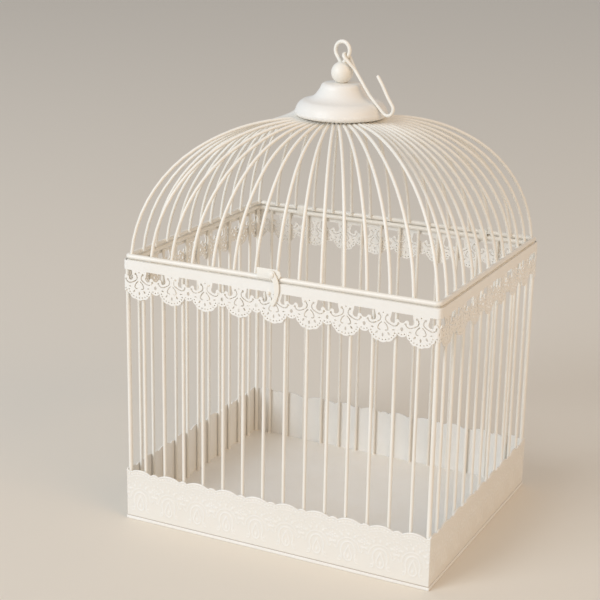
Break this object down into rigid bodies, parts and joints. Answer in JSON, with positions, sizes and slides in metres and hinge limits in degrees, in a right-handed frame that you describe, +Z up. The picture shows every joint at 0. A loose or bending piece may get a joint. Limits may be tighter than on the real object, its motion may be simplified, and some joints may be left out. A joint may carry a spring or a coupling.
{
  "type": "wedding card box",
  "caption": "Rectangular wire birdcage card box with a hinged domed lid, pierced lace band, embossed skirt, swinging latch hook and hanging hook, for cards dropped in under the lid.",
  "frame": {"origin": "middle of the underside of the floor pan, on the ground", "axes": "+Z up, -Y to the front with the latch, +Y to the hinge, +X to the right seen from the front"},
  "size_m": [0.3004, 0.253, 0.438],
  "materials": {
    "wire_paint": "satin ivory paint on wire",
    "sheet_paint": "satin ivory paint on sheet",
    "fitting_paint": "satin ivory paint on fittings"
  },
  "bodies": {
    "cage": {"floor_pan": "sheet_paint", "skirt_front": "sheet_paint", "skirt_right": "sheet_paint", "skirt_back": "sheet_paint", "skirt_left": "sheet_paint", "post_front_left": "wire_paint", "post_front_right": "wire_paint", "post_back_left": "wire_paint", "post_back_right": "wire_paint", "bars_front": "wire_paint", "bars_back": "wire_paint", "bars_left": "wire_paint", "bars_right": "wire_paint", "top_frame": "wire_paint", "lace_front": "sheet_paint", "lace_right": "sheet_paint", "lace_back": "sheet_paint", "lace_left": "sheet_paint", "hinge_strap_left": "fitting_paint", "hinge_strap_right": "fitting_paint", "keeper_stud": "fitting_paint"},
    "lid": {"lid_rim": "wire_paint", "dome_wires_front": "wire_paint", "dome_wires_back": "wire_paint", "dome_wires_right": "wire_paint", "dome_wires_left": "wire_paint", "dome_wires_corner": "wire_paint", "crown_disc": "fitting_paint", "crown_washer": "fitting_paint", "crown_nut": "fitting_paint", "finial_cap": "sheet_paint", "finial_ball": "fitting_paint", "eye_bolt": "fitting_paint", "latch_plate": "fitting_paint", "latch_rivet": "fitting_paint"},
    "latch": {"latch_hook": "fitting_paint"},
    "hanger": {"hanging_hook": "fitting_paint"}
  },
  "joints": [
    {"name": "lid_hinge", "type": "hinge", "parent": "cage", "child": "lid", "pos_m": [0, 0.12175, 0.2512], "axis": [-1, 0, 0], "range_deg": [0, 110]},
    {"name": "latch_pivot", "type": "hinge", "parent": "lid", "child": "latch", "pos_m": [-0.0019, -0.126, 0.2554], "axis": [0, -1, 0], "range_deg": [-13, 95]},
    {"name": "hanger_swing", "type": "hinge", "parent": "lid", "child": "hanger", "pos_m": [0, 0, 0.42875], "axis": [-0.1736, -0.9848, 0], "range_deg": [0, 138]}
  ]
}
